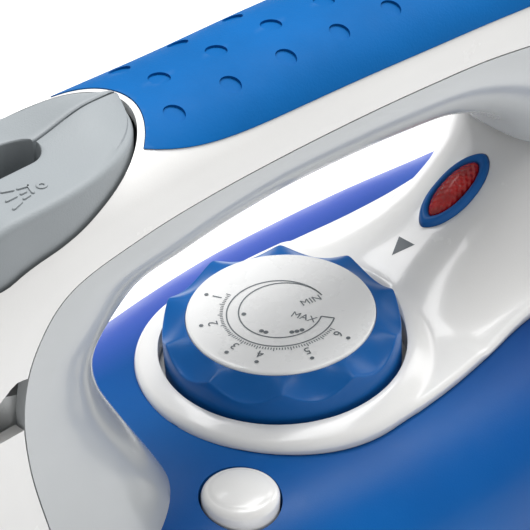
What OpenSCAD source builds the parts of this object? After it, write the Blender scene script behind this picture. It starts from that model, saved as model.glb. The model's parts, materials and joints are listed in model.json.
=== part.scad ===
// Steam iron, built as separate pieces. Frame: +X to the tip, +Y to the port side,
// +Z up, origin on the ground under the middle of the iron, soleplate down.
// The dial's axis crosses the ground at the origin, tilted forward by dial_tilt.

/* [Body] */
// Length from the tip of the soleplate to the heel
iron_l = 276; // [274:1:280]
// Length of the soleplate
sole_l = 238; // [234:1:240]
// Width of the soleplate
sole_w = 116; // [114:1:118]
// Thickness of the polished soleplate
sole_t = 3.2; // [3:0.1:3.6]
// Top of the heat shield, where the tank starts
skirt_top = 26; // [25:0.5:27]
// Height of the tank's crown under the saddle
tank_top = 62.2; // [61.6:0.2:62.6]
// Wall of the tank
tank_wall = 2.2; // [1.8:0.1:2.6]

/* [Handle] */
// Wall of the handle's shells
shell_wall = 2.4; // [2:0.1:2.8]
// Thickness of the soft grip
grip_t = 2.2; // [1.8:0.1:2.4]
// Gap at the seams of the handle
seam = 0.3; // [0.2:0.1:0.4]

/* [Dial] */
// Outer diameter of the dial across its lobes
knob_d = 50; // [48:0.5:51]
// Number of lobes round the dial
knob_lobes = 10; // [8:1:12]
// Diameter of the printed plate on the dial
plate_d = 39.6; // [38:0.2:40]
// Forward tilt of the dial's axis
dial_tilt = 4; // [3:0.5:5]
// Height of the dial's foot above the ground
dial_z = 60; // [59.5:0.5:60.5]
// Radius of the thermostat's shaft
shaft_r = 3; // [2.6:0.1:3.2]

/* [Buttons] */
// Half the width of the button block at its front
block_hw = 18; // [17.5:0.1:18.2]
// Width of the steam lever's slot
slot_w = 10; // [9:0.5:10.5]
// Radius of the pin that the buttons turn on
pin_r = 1.5; // [1.4:0.1:1.6]
// Running clearance of a turning or sliding fit
fit = 0.05; // [0.03:0.01:0.08]

/* [Hidden] */

tip_x = iron_l / 2;
heel_x = -iron_l / 2;
sole_rear = tip_x - sole_l;

// ---- small functions ----------------------------------------------------
function clamp01(t) = max(0, min(1, t));
function smooth(t) = let (c = clamp01(t)) c * c * (3 - 2 * c);
function spow(v, p) = sign(v) * pow(abs(v), p);
function catmull(a, b, c, d, t) =
    0.5 * (2 * b + (c - a) * t + (2 * a - 5 * b + 4 * c - d) * t * t
        + (3 * b - a - 3 * c + d) * t * t * t);
function along(rows, u) =
    let (n = len(rows) - 1, i = min(n - 1, floor(u * n)), t = u * n - i)
    catmull(rows[max(0, i - 1)], rows[i], rows[i + 1], rows[min(n, i + 2)], t);

// Triangles that close a ring of n points, in a strip from its first and last point inwards
function cap(n, base) = [for (j = [0:floor((n - 3) / 2)])
    let (a = j, b = j + 1, c = n - 2 - j, d = n - 1 - j)
    each b < c ? [[a, b, d], [b, c, d]] + base * [[1, 1, 1], [1, 1, 1]] : [[a, b, d] + base * [1, 1, 1]]];
function flipped(faces) = [for (f = faces) [f[2], f[1], f[0]]];

function total(v, i = 0) = i == len(v) - 1 ? v[i] : v[i] + total(v, i + 1);
function ring_area(r) = total([for (j = [0:len(r) - 1]) cross(r[j] - r[0], r[(j + 1) % len(r)] - r[0])]);

// A solid through a list of rings, each a closed loop with the same number of points
module loft(rings) {
    n = len(rings[0]);
    m = len(rings);
    sides = [for (i = [0:m - 2]) for (j = [0:n - 1])
        let (k = (j + 1) % n, a = i * n + j, b = i * n + k, c = b + n, d = a + n)
        each [[a, b, c], [a, c, d]]];
    faces = concat(flipped(cap(n, 0)), sides, cap(n, (m - 1) * n));
    polyhedron([for (r = rings) each r],
        ring_area(rings[0]) * (rings[1][0] - rings[0][0]) > 0 ? flipped(faces) : faces);
}

// Free-form shells are cut and joined as one mesh
module as_mesh() resize([0, 0, 0]) union() children();

// ---- soleplate outline ---------------------------------------------------
// Half the width of the soleplate at x
function sole_hw(x) =
    let (t = clamp01((tip_x - x) / sole_l))
    let (nose = t < 0.7 ? pow(sin(90 * t / 0.7), 0.8) : 1 - 0.1 * pow((t - 0.7) / 0.3, 2))
    let (q = clamp01((x - sole_rear) / 24))
    sole_w / 2 * nose * pow(1 - pow(1 - q, 2.6), 1 / 2.6);
// Stations from the rear to the tip, closer together at both ends
function stations(a, b, n) = [for (i = [0:n]) a + (b - a) * (1 - cos(180 * i / n)) / 2];
function sole_points(inset, n = 34) =
    let (xs = stations(sole_rear + inset, tip_x - inset * 1.6, n))
    let (k = (sole_w / 2 - inset) / (sole_w / 2))
    concat(
        [for (i = [0:n]) [xs[i], -k * sole_hw(fit_x(xs[i], inset))]],
        [for (i = [n - 1:-1:1]) [xs[i], k * sole_hw(fit_x(xs[i], inset))]]);
function fit_x(x, inset) =
    sole_rear + (x - sole_rear - inset) * sole_l / (sole_l - 2.6 * inset);
module sole_outline(inset) polygon(sole_points(inset));

// Steam vents: two rows that follow the outline and a fan at the tip
vent_d = 3;
function vents() = concat(
    [for (s = [-1, 1]) for (i = [0:8]) let (x = -52 + 17 * i) [x, s * (sole_hw(x) - 15)]],
    [for (s = [-1, 1]) for (i = [0:3]) let (x = 12 + 20 * i) [x, s * (sole_hw(x) - 27) * 0.9]],
    [[101, 0], [110, 0]]);

module soleplate() {
    color("silver")
    difference() {
        linear_extrude(sole_t) sole_outline(0);
        for (v = vents())
            translate([v.x, v.y, -1]) cylinder(h = sole_t + 2, d = vent_d, $fn = 24);
    }
}

// Casting on the soleplate, with the steam chamber and the heater's groove
casting_top = 15;
groove_r = 3.6;
heater_r = 3.5;
heater_z = casting_top - groove_r;
heater_turn_x = 58;
heater_hw = 26;
heater_end_x = -78;
module heater_path(r) {
    for (s = [-1, 1])
        translate([heater_end_x, s * heater_hw * 0.9, heater_z])
            rotate([0, 90, 0]) cylinder(h = heater_turn_x - heater_end_x, r = r, $fn = 32);
    translate([heater_turn_x, 0, heater_z])
        rotate([0, 0, -90]) rotate_extrude(angle = 180, $fn = 64)
            translate([heater_hw * 0.9, 0]) circle(r = r, $fn = 32);
}
chamber_floor = sole_t + 3;
screw_spots = [[-54, 0], [40, 17], [40, -17]];
module sole_casting() {
    color("gainsboro")
    difference() {
        translate([0, 0, sole_t]) linear_extrude(casting_top - sole_t) sole_outline(10);
        heater_path(groove_r);
        for (s = [-1, 1])
            translate([heater_end_x - 20, s * heater_hw * 0.9, heater_z])
                rotate([0, 90, 0]) cylinder(h = 21, r = 2.2, $fn = 32);
        for (s = [-1, 1])
            translate([(heater_turn_x + heater_end_x) / 2, s * heater_hw * 0.9, casting_top])
                cube([heater_turn_x - heater_end_x, 2 * groove_r, 3], center = true);
        translate([-44, -14, chamber_floor]) cube([114, 28, casting_top]);
        for (v = vents())
            translate([v.x, v.y, sole_t - 1]) cylinder(h = 3.4, d = vent_d + 1, $fn = 24);
    }
}

module heating_element() {
    color("dimgray") {
        heater_path(heater_r);
        for (s = [-1, 1])
            translate([heater_end_x - 12, s * heater_hw * 0.9, heater_z])
                rotate([0, 90, 0]) cylinder(h = 12, r = 1.6, $fn = 24);
    }
}

cover_t = 1.5;
module steam_chamber_cover() {
    color("lightgray")
    difference() {
        translate([-62, -19.2, casting_top]) cube([136, 38.4, cover_t]);
        for (p = screw_spots)
            translate([p.x, p.y, casting_top - 1]) cylinder(h = 4, r = 1.9, $fn = 24);
        translate([rod_x, 0, casting_top - 1]) cylinder(h = 4, r = 3.4, $fn = 32);
        cylinder(h = 40, r = 8.6, $fn = 40);
    }
}

module screw(length, r, head_r, head_h) {
    cylinder(h = length, r = r, $fn = 24);
    translate([0, 0, length])
        difference() {
            cylinder(h = head_h, r = head_r, $fn = 32);
            for (a = [0, 90])
                rotate([0, 0, a])
                    translate([0, 0, head_h]) cube([head_r * 1.2, 0.8, head_h], center = true);
        }
}
module chamber_screws() {
    color("silver")
    for (p = screw_spots)
        translate([p.x, p.y, casting_top + cover_t - 1.4]) screw(1.5, 1.8, 3.4, 1.8);
}

// ---- heat shield: the skirt between the soleplate and the tank -----------
skirt_inset = 3.5;
skirt_low = sole_t + 0.6;
thermostat_r = 15;
module heat_shield() {
    color("whitesmoke")
    difference() {
        translate([0, 0, skirt_low]) linear_extrude(skirt_top - skirt_low) sole_outline(skirt_inset);
        translate([0, 0, skirt_low - 1])
            linear_extrude(skirt_top - skirt_low - 1) sole_outline(skirt_inset + 2.4);
        translate([0, 0, skirt_top - 3]) cylinder(h = 6, r = thermostat_r + 1.5, $fn = 48);
        translate([rod_x, 0, skirt_top - 3]) cylinder(h = 6, r = 5, $fn = 32);
        translate([-84, -26, skirt_top - 3]) cube([20, 52, 6]);
    }
}
module tank_gasket() {
    color("dimgray")
    translate([0, 0, skirt_top])
        difference() {
            linear_extrude(0.8) sole_outline(skirt_inset + 1);
            translate([0, 0, -1]) linear_extrude(3) sole_outline(skirt_inset + 4);
        }
}

// ---- water tank -----------------------------------------------------------
tank_z0 = skirt_top + 0.8;
tank_rear = -104;
tank_front = tip_x - 8;
function tank_hw(x) =
    (sole_hw(max(-30, min(x, tank_front) + 1.5)) * 0.94 - 1) * (1 - 0.13 * smooth((-20 - x) / 110));
// Height of the tank's crown: level under the saddle, falling to the nose
function tank_crown(x) =
    tank_top - 33 * pow(clamp01((x - 34) / (tank_front + 6 - 34)), 1.7)
        - 1.5 * smooth((-60 - x) / 40);
function tank_power(x) = 2 / (3.8 - 1.4 * smooth((x - 60) / 70));
function tank_ring(x, inset, n) =
    let (w = max(0.6, tank_hw(x) - inset), h = tank_crown(x) - inset - tank_z0, p = tank_power(x))
    [for (i = [0:n]) let (a = 180 * i / n)
        [x, w * spow(cos(a), p), tank_z0 + (inset > 0 ? inset : 0) + (h - max(0, inset)) * pow(sin(a), p)]];
module tank_solid(inset, grow = 0) {
    xs = stations(tank_rear + max(0, inset), tank_front - max(0, inset) * 2, 22);
    loft([for (x = xs) tank_ring(x, inset - grow, 22)]);
}
// Height of the tank's surface above the point x, y
function tank_surface(x, y) =
    let (n = 2 / tank_power(x), q = clamp01(abs(y) / tank_hw(x)))
    tank_z0 + (tank_crown(x) - tank_z0) * pow(1 - pow(q, n), 1 / n);
bowl_r = knob_d / 2 + 1.2;
bowl_floor = 0.5;
bowl_low = -3;
module on_dial() translate([0, 0, dial_z]) rotate([0, dial_tilt, 0]) children();
// The dish in the tank's top that the dial's bowl sits in
module dish(grow) {
    on_dial() translate([0, 0, bowl_low - 0.4 - grow]) cylinder(h = 40, r = bowl_r + 2.4 + grow, $fn = 72);
}
fill_x = 97;
pump_x = 80;
pump_y = 8;
shaft_well = 10.8;
rod_x = 66;
hose_r = 2;
clean_at = [36.8, 24.4];
clean_r = 7.8;
module tube(x, y, z0, z1, r_out, r_in) {
    translate([x, y, z0])
    difference() {
        cylinder(h = z1 - z0, r = r_out, $fn = 48);
        translate([0, 0, -1]) cylinder(h = z1 - z0 + 2, r = r_in, $fn = 48);
    }
}
module water_tank() {
    color("royalblue", 0.8)
    as_mesh()
    difference() {
        tank_solid(0);
        dish(0);
        difference() {
            tank_solid(tank_wall);
            dish(tank_wall);
        }
        translate([0, 0, skirt_top - 1]) cylinder(h = 60, r = shaft_well, $fn = 48);
        translate([rod_x, 0, skirt_top - 2]) cylinder(h = 60, r = 4.4, $fn = 24);
        translate([fill_x, 0, skirt_top + 6]) cylinder(h = 60, r = 9.2, $fn = 32);
        translate([clean_at.x, clean_at.y, skirt_top + 6]) cylinder(h = 60, r = clean_r + 0.5, $fn = 32);
        for (s = [-1, 1])
            translate([pump_x, s * pump_y, skirt_top + 6]) cylinder(h = 60, r = hose_r + 0.4, $fn = 16);
    }
}
// Tubes that stand in the tank and keep the water out of what passes through it
tubes_low = tank_z0 + tank_wall + 0.1;
module tank_tubes() {
    color("royalblue", 0.8) {
        tube(0, 0, tubes_low, dial_z + bowl_low - tank_wall - 1.8, 12.4, shaft_well);
        tube(clean_at.x, clean_at.y, tubes_low + 2, 50, clean_r + 2, clean_r + 0.5);
        translate([clean_at.x, clean_at.y, tubes_low]) cylinder(h = 2, r = clean_r + 2, $fn = 48);
        tube(pump_x, -pump_y, tubes_low, 47, hose_r + 1.6, hose_r + 0.4);
    }
}

// ---- saddle: the white top that carries the dial and the pilot light -------
saddle_r = 31.5;
saddle_rear = -116;
neck_top = 90;
// Rows of x, height of the ridge, height of the edge, half the width and the flat share
saddle_rows = [
    [-116, 90, 66, 30, 0.74], [-104, 90, 65.6, 29, 0.72], [-92, 90, 65.2, 28, 0.68],
    [-80, 90, 64.8, 27.2, 0.6], [-72, 90, 64.6, 26.8, 0.45], [-66, 86.5, 64.5, 26.6, 0.28],
    [-60, 83.2, 64.4, 26.6, 0.2], [-53, 79.7, 64.4, 26.8, 0.12], [-45, 76.3, 64.3, 27.4, 0.1],
    [-33, 72.6, 63.6, 29.4, 0.1], [-20, 67.5, 63, 31, 0.2], [-8, 63.6, 62.6, 31.6, 0.3]];
function saddle_row(x) =
    let (rows = saddle_rows, n = len(rows) - 1)
    x >= rows[n][0]
        ? [x, 63.6 - 0.02 * (x + 8), 62.6, sqrt(max(0.01, saddle_r * saddle_r - max(0, x) * max(0, x))), 0.3]
        : let (i = max([for (k = [0:n - 1]) rows[k][0] <= x ? k : 0]))
          let (t = (x - rows[i][0]) / (rows[i + 1][0] - rows[i][0]))
          catmull(rows[max(0, i - 1)], rows[i], rows[i + 1], rows[min(n, i + 2)], t);
// The saddle is hollow behind the dial and solid round its bowl
function saddle_thick(x) = 3 + 10 * smooth((x + 46) / 12);
function ramp_z(x, y) =
    let (r = saddle_row(x), s = clamp01((abs(y) / r[3] - r[4]) / (1 - r[4])))
    r[2] + (r[1] - r[2]) * (0.5 + 0.5 * cos(180 * pow(s, 1.15)));
// The collar round the dial falls from the bowl's rim to the saddle's edge
function collar_z(x, y) =
    let (t = clamp01((norm([x, y]) - bowl_r) / (saddle_r - bowl_r)))
    62.4 + (4.4 - 0.07 * x) * (1 - pow(t, 1.7));
function saddle_z(x, y) =
    let (a = ramp_z(x, y), b = x > -36 ? collar_z(x, y) : 0, h = max(0, 1 - abs(a - b) / 2))
    max(a, b) + h * h / 2;
function saddle_ring(x, n) =
    let (w = saddle_row(x)[3])
    concat(
        [for (i = [0:n]) let (y = -w * cos(180 * i / n)) [x, y, saddle_z(x, y)]],
        [for (i = [n:-1:0]) let (y = -(w - 0.4) * cos(180 * i / n), z = saddle_z(x, y))
            [x, y, min(z - 0.6, max(z - saddle_thick(x), tank_surface(x, y) + 0.15))]]);
module saddle_sheet() {
    xs = concat([for (x = [saddle_rear:4:-2]) x], [for (a = [0:10:80]) saddle_r * sin(a)], [saddle_r - 0.05]);
    loft([for (x = xs) saddle_ring(x, 18)]);
}
lens_at = [-53.3, 0, 79.9];
lens_tilt = 24.5;
lens_l = 16;
lens_w = 5.8;
bezel_l = 22.6;
bezel_w = 9.6;
module on_lens() translate(lens_at) rotate([0, lens_tilt, 0]) children();
// An almond: two arcs that meet at both ends, the ends rounded
module almond(l, w) {
    r = (l * l / 4 + w * w / 4) / w;
    offset_y = r - w / 2;
    round_r = w * 0.18;
    intersection() {
        translate([0, offset_y]) circle(r = r, $fn = 96);
        translate([0, -offset_y]) circle(r = r, $fn = 96);
        square([l - round_r, w], center = true);
    }
}
module saddle() {
    color("white")
    as_mesh()
    difference() {
        union() {
            saddle_sheet();
            intersection() {
                on_dial() translate([0, 0, bowl_low]) cylinder(h = 9, r = bowl_r + 2, $fn = 72);
                translate([-40, -40, 40]) cube([80, 80, tank_top + 0.35 - 40]);
            }
        }
        on_dial() translate([0, 0, bowl_floor]) cylinder(h = 40, r = bowl_r, $fn = 72);
        on_dial() translate([0, 0, 7.2]) cylinder(h = 8, r1 = bowl_r, r2 = bowl_r + 7, $fn = 72);
        on_dial() translate([0, 0, -20]) cylinder(h = 40, r = shaft_r + 1.2, $fn = 32);
        on_lens() translate([0, 0, -9]) linear_extrude(30) almond(bezel_l + 0.3, bezel_w + 0.3);
    }
}

// ---- dial -----------------------------------------------------------------
knob_low = 1.4;
knob_top = 14.6;
knob_r = knob_d / 2;
function lobe(a, depth) = 1 - depth * (0.5 - 0.5 * cos(knob_lobes * a));
module knob_outline(r, depth) {
    polygon([for (i = [0:119]) let (a = 3 * i) r * lobe(a, depth) * [cos(a), sin(a)]]);
}
plate_t = 1.2;
module dial_knob() {
    color("steelblue")
    on_dial()
    difference() {
        union() {
            for (i = [0:5]) {
                z = knob_low + i * 2;
                translate([0, 0, z]) linear_extrude(2) knob_outline(knob_r - 0.45 * i, 0.05 + 0.008 * i);
            }
            translate([0, 0, knob_low + 12]) linear_extrude(knob_top - knob_low - 12)
                knob_outline(knob_r - 3.4, 0.05);
        }
        translate([0, 0, knob_top - plate_t]) cylinder(h = 5, r = plate_d / 2 + 0.05, $fn = 96);
        translate([0, 0, knob_low - 1])
            difference() {
                cylinder(h = 10, r = knob_r - 5, $fn = 72);
                translate([0, 0, -1]) cylinder(h = 12, r = 6, $fn = 48);
            }
        translate([0, 0, -5]) cylinder(h = 14, r = shaft_r + 0.02, $fn = 48);
    }
}
module dial_plate() {
    color("white")
    on_dial() translate([0, 0, knob_top - plate_t]) cylinder(h = plate_t + 0.7, r = plate_d / 2, $fn = 96);
}
shaft_foot = -36;
module dial_shaft() {
    color("silver")
    on_dial() translate([0, 0, shaft_foot]) cylinder(h = 9 - shaft_foot, r = shaft_r, $fn = 48);
}
module thermostat() {
    color("tan")
    difference() {
        union() {
            translate([0, 0, casting_top + cover_t]) cylinder(h = 10, r = thermostat_r - 2, $fn = 48);
            on_dial() translate([0, 0, shaft_foot - 1]) cylinder(h = 8, r = 7.2, $fn = 48);
        }
        on_dial() translate([0, 0, shaft_foot]) cylinder(h = 40, r = shaft_r + fit, $fn = 48);
    }
}

// ---- pilot light -----------------------------------------------------------
module pilot_bezel() {
    color("steelblue")
    on_lens()
    difference() {
        translate([0, 0, -1.5]) linear_extrude(3.6) almond(bezel_l, bezel_w);
        translate([0, 0, -3]) linear_extrude(8) almond(lens_l, lens_w);
        translate([0, 0, -8.6]) linear_extrude(8.5) difference() {
            square([60, 60], center = true);
            almond(lens_l + 2.4, lens_w + 1.6);
        }
    }
}
module pilot_lens() {
    color("crimson", 0.8)
    on_lens() translate([0, 0, -2.2]) linear_extrude(4.8) almond(lens_l - 0.2, lens_w - 0.2);
}
module pilot_lamp() {
    color("orange")
    on_lens() translate([0, 0, -11]) {
        cylinder(h = 6, r = 2.4, $fn = 32);
        translate([0, 0, 6]) sphere(r = 2.4, $fn = 32);
    }
}

// ---- handle ----------------------------------------------------------------
// Rows along the handle from the front foot over the grip to the rear pillar:
// inner x and z, outer x and z, half the width, roundness of the section
handle_rows = [
    [38, 55, 117, 46, 27, 2.4], [42, 64, 113, 58, 21.5, 2.5], [50, 78, 109, 74, 17.5, 2.8],
    [57.5, 92, 107, 90, 17, 3], [60.5, 103, 106, 108, 18, 3.4], [57, 110, 104, 125, 19.4, 3.4],
    [48, 113, 97, 139, 20, 2.6], [37, 113.8, 74, 143.6, 19.4, 2.6], [26, 113.8, 50, 143.8, 18.2, 2.5],
    [12, 113.4, 26, 143.8, 17.8, 2.3], [-4, 112.6, 2, 143.6, 17.8, 2.3], [-20, 111, -22, 143, 17.8, 2.3],
    [-36, 108.5, -48, 142.4, 18.2, 2.3], [-50, 103.5, -76, 141.5, 19.6, 2.4],
    [-60, 97.5, -102, 136, 21, 2.5], [-65, 91.6, -118, 122, 21.5, 2.5],
    [-66.2, 90.4, -122.5, 106, 21.8, 2.5], [-66.4, 90.2, -123, 90.2, 22, 2.5]];
function handle_row(u) = along(handle_rows, u);
// Point of a section at angle a (0 to port, 90 outward), moved in by d and at least gap
// away from the parting plane between the two shells
function section_point(row, a, d, gap = 0) =
    let (half = [row[2] - row[0], row[3] - row[1]] / 2, h = norm(half), dir = half / h)
    let (p = 2 / row[5], q0 = (h - d) * spow(sin(a), p), y = (row[4] - d) * spow(cos(a), p))
    let (q = a <= 180 ? max(q0, gap) : min(q0, -gap))
    [(row[0] + row[2]) / 2 + dir.x * q, y, (row[1] + row[3]) / 2 + dir.y * q];
function shell_ring(row, a0, a1, d0, d1, n) = concat(
    [for (i = [0:n]) section_point(row, a0 + (a1 - a0) * i / n, d0, seam / 2)],
    [for (i = [n:-1:0]) section_point(row, a0 + (a1 - a0) * i / n, d1, seam / 2)]);
module handle_shell(a0, a1, d0, d1, u0 = 0, u1 = 1, m = 34, n = 14) {
    loft([for (i = [0:m]) shell_ring(handle_row(u0 + (u1 - u0) * i / m), a0, a1, d0, d1, n)]);
}
// The grip covers the top of the handle. Its edge starts high beside the buttons
// and settles on the flank.
grip_u0 = 7.2 / 17;
grip_u1 = 13.6 / 17;
function grip_edge(u) =
    min(70, 23 + 4 * (1 - smooth((u - 0.5) / 0.2)) + 27 * exp((0.4665 - u) / 0.02));
function grip_ring(u, d0, d1, open, n) =
    let (row = handle_row(u), a = grip_edge(u) - open)
    concat(
        [for (i = [0:n]) section_point(row, a + (180 - 2 * a) * i / n, d0)],
        [for (i = [n:-1:0]) section_point(row, a + (180 - 2 * a) * i / n, d1)]);
module grip_form(d0, d1, open, grow) {
    m = 20;
    loft([for (i = [0:m])
        grip_ring(grip_u0 - grow + (grip_u1 - grip_u0 + 2 * grow) * i / m, d0, d1, open, 12)]);
}

// ---- button block -----------------------------------------------------------
block_back = 43.5;
block_front = 92;
slot_back = 63;
pivot_x = 52;
pivot_z = 137;
peg_z = 122;
// Half the width of the block's outline at x
function block_w(x) =
    let (t = clamp01((x - block_back) / 34))
    block_hw * pow(1 - pow(1 - t, 2.4), 1 / 1.9) * (1 - 0.04 * smooth((x - 84) / 8));
function block_ridge(x) = 146.4 - 2.9 * smooth((x - 50) / 16) - 2 * smooth((x - 82) / 10);
function block_rim(x, side) = 143.5 - (side < 0 ? 3.6 * smooth((x - 44) / 16) : 0) - 2.4 * smooth((x - 82) / 10);
function block_low(x) = 142.2 - 11.4 * pow(clamp01((x - 46) / 40), 0.9);
function slot_edge(x) =
    let (r = slot_w / 2, c = slot_back + slot_w / 2)
    x < slot_back ? 0.3 : x < c ? max(0.3, sqrt(max(0, r * r - pow(c - x, 2)))) : r;
function block_ring(x, side) =
    let (w = block_w(x), y0 = min(slot_edge(x), w - 0.4), r = min(1.6, (w - y0) * 0.45))
    let (zt = block_ridge(x), zr = block_rim(x, side), zl = block_low(x) - 3)
    let (top = function (y) zt - (zt - zr) * y / max(1, block_w(x)))
    concat(
        [[x, y0, zl], [x, y0, top(y0) - 0.5], [x, y0 + 0.5, top(y0 + 0.5)]],
        [for (k = [1:3]) let (y = y0 + (w - r - y0) * k / 3) [x, y, top(y)]],
        [for (a = [72, 54, 36, 18, 0]) [x, w - r + r * cos(a), top(w) - r + r * sin(a)]],
        [[x, w, zl]]);
module button(side) {
    mirror([0, side < 0 ? 1 : 0, 0])
    difference() {
        union() {
            loft([for (x = concat(
                [for (i = [0:10]) block_back + 0.15 + 18 * pow(i / 10, 1.6)],
                [for (i = [0:6]) slot_back + 0.02 + slot_w / 2 * (1 - cos(15 * i))],
                [for (x = [71:3:89]) x], [block_front - 0.6, block_front])) block_ring(x, side)]);
            translate([pivot_x, 0.5, pivot_z]) rotate([-90, 0, 0]) cylinder(h = 5, r = 3.4, $fn = 40);
            translate([pump_x, pump_y, peg_z]) cylinder(h = 16, r = 1.6, $fn = 24);
        }
        translate([pivot_x, -1, pivot_z]) rotate([-90, 0, 0]) cylinder(h = 20, r = pin_r + fit, $fn = 48);
    }
}
module spray_button() { color("darkgray") button(1); }
module steam_button() { color("darkgray") button(-1); }
module button_pin() {
    color("silver")
    translate([pivot_x, -9, pivot_z]) rotate([-90, 0, 0]) cylinder(h = 18, r = pin_r, $fn = 48);
}

// ---- handle shells -----------------------------------------------------------
nozzle_z = 114;
nozzle_x = 101;
door_low = 70;
door_high = 90;
door_hw = 9;
hinge_x = 109.3;
hinge_z = 71.6;
module block_cut(gap) {
    n = 12;
    edge = [for (i = [0:n]) let (x = block_back - gap + (block_front + 2 * gap - block_back) * pow(i / n, 1.5))
        [x, i == 0 ? 0.05 : block_w(x) + gap]];
    translate([0, 0, 100]) linear_extrude(60)
        polygon(concat(edge, [for (i = [n:-1:0]) [edge[i].x, -edge[i].y]]));
}
// What lies in front of the grip's front edge: the block and a collar round it
module grip_front(gap) {
    block_cut(2 + gap);
    translate([50 - gap, -40, 100]) cube([60, 80, 60]);
}
module door_box(gap) {
    translate([98, -door_hw - gap, door_low - gap])
        cube([30, 2 * (door_hw + gap), door_high - door_low + 2 * gap]);
}
module door_axle(r, half_l) {
    translate([hinge_x, -half_l, hinge_z]) rotate([-90, 0, 0]) cylinder(h = 2 * half_l, r = r, $fn = 40);
}
module upper_shell() {
    color("white")
    difference() {
        as_mesh()
        difference() {
            handle_shell(0, 180, 0, shell_wall);
            difference() {
                grip_form(-4, grip_t, 0, 0);
                grip_front(0);
            }
            block_cut(0.7);
            door_box(0.35);
            tank_solid(0, 0.2);
        }
        door_axle(1.25, door_hw + 4);
        translate([nozzle_x, 0, nozzle_z]) rotate([0, 95, 0]) translate([0, 0, -8])
            cylinder(h = 30, r = 4.8, $fn = 40);
        on_inlet() translate([0, 0, -9]) cylinder(h = 14, r = 6.4, $fn = 48);
    }
}
module lower_shell() {
    color("gainsboro")
    as_mesh()
    difference() {
        handle_shell(180.01, 359.99, 0, shell_wall);
        tank_solid(0, 0.2);
        saddle_cutter();
        translate([clean_at.x, clean_at.y, 50]) cylinder(h = 40, r = clean_r + 6, $fn = 64);
    }
}
module saddle_cutter() {
    translate([0, 0, 40]) cylinder(h = 28, r = saddle_r + 0.3, $fn = 72);
}
module grip() {
    color("steelblue")
    as_mesh()
    difference() {
        grip_form(-0.25, grip_t - 0.05, -0.4, -0.001);
        grip_front(0.15);
    }
}

// ---- springs -----------------------------------------------------------------
function coil_ring(a, r, wire, pitch, sides) =
    [for (k = [0:sides - 1]) let (b = 360 * k / sides, q = r + wire * cos(b))
        [q * cos(a), q * sin(a), pitch * a / 360 + wire * sin(b)]];
module coil(r, wire, length, turns) {
    pitch = (length - 2 * wire) / turns;
    translate([0, 0, wire])
        loft([for (i = [0:turns * 12]) coil_ring(i * 30, r, wire, pitch, 6)]);
}
spring_low = 105;
spring_high = 115.6;
module button_spring(s) {
    color("silver")
    translate([pump_x, s * pump_y, spring_low + 0.1]) coil(3.6, 0.45, spring_high - spring_low - 0.2, 4);
}
module spray_spring() button_spring(1);
module steam_spring() button_spring(-1);

// ---- pumps under the two buttons ----------------------------------------------
pump_low = 62;
pump_high = 105;
pump_r = 6;
bore_r = 5;
rod_r = 1.6;
module pump(s) {
    translate([pump_x, s * pump_y, 0])
    difference() {
        translate([0, 0, pump_low]) cylinder(h = pump_high - pump_low, r = pump_r, $fn = 48);
        translate([0, 0, pump_low + 2]) cylinder(h = pump_high - pump_low - 4, r = bore_r, $fn = 48);
        translate([0, 0, pump_high - 4]) cylinder(h = 8, r = rod_r + 0.05, $fn = 40);
        translate([0, 0, pump_low - 1]) cylinder(h = 5, r = 1, $fn = 24);
    }
}
module piston(s) {
    translate([pump_x, s * pump_y, 0]) {
        translate([0, 0, 84]) cylinder(h = 7, r = bore_r - fit, $fn = 48);
        translate([0, 0, 90]) cylinder(h = peg_z - 0.3 - 90, r = rod_r, $fn = 40);
        translate([0, 0, spring_high]) cylinder(h = 1.4, r = 4.6, $fn = 40);
    }
}
module spray_pump() { color("whitesmoke") pump(1); }
module steam_pump() { color("whitesmoke") pump(-1); }
module spray_piston() { color("silver") piston(1); }
module steam_piston() { color("silver") piston(-1); }

module pump_hoses() {
    color("gainsboro") {
        translate([pump_x, pump_y, pump_low - 12]) cylinder(h = 12, r = hose_r, $fn = 24);
        translate([pump_x, -pump_y, tubes_low]) cylinder(h = pump_low - tubes_low, r = hose_r, $fn = 24);
        translate([pump_x + pump_r + 0.02, pump_y, 96]) rotate([0, 90, 0]) cylinder(h = 8, r = hose_r, $fn = 24);
        translate([pump_x + pump_r + 8, pump_y, 96 - hose_r]) cylinder(h = 16, r = hose_r, $fn = 24);
    }
}
module spray_nozzle() {
    color("lightgray")
    translate([nozzle_x, 0, nozzle_z]) rotate([0, 95, 0])
    difference() {
        union() {
            cylinder(h = 7.5, r = 4.4, $fn = 48);
            translate([0, 0, -3]) cylinder(h = 3, r = 4.7, $fn = 48);
        }
        translate([0, 0, -4]) cylinder(h = 10, r = 2, $fn = 32);
        translate([0, 0, 4]) cylinder(h = 8, r = 0.5, $fn = 24);
    }
}

// ---- steam lever, valve rod and seat -------------------------------------------
lever_x = 85;
lever_travel = 12;
lever_low = 118;
module steam_lever() {
    color("gray") {
        translate([lever_x - 1.6, -3, lever_low + 2]) cube([3.2, 6, 22]);
        translate([lever_x - 6, -5, lever_low]) cube([12, 10, 2]);
        translate([lever_x, 0, 0])
            difference() {
                translate([-5, -4.2, 135]) cube([10, 8.4, 12]);
                for (s = [-1, 1])
                    translate([s * 8.4, 0, 147.5]) rotate([90, 0, 0])
                        cylinder(h = 20, r = 5, center = true, $fn = 48);
            }
    }
}
module valve_rod() {
    color("silver") {
        translate([rod_x, 0, 22]) cylinder(h = 92, r = 1.5, $fn = 32);
        translate([rod_x, -1.2, 111.6]) cube([18, 2.4, 2.4]);
    }
}
module valve_seat() {
    color("dimgray")
    translate([rod_x, 0, 0])
    difference() {
        union() {
            translate([0, 0, casting_top + cover_t]) cylinder(h = 13, r = 4.2, $fn = 40);
            translate([0, 0, casting_top + cover_t]) cylinder(h = 2, r = 6, $fn = 40);
        }
        translate([0, 0, 14]) cylinder(h = 20, r = 1.6, $fn = 40);
    }
}

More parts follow.
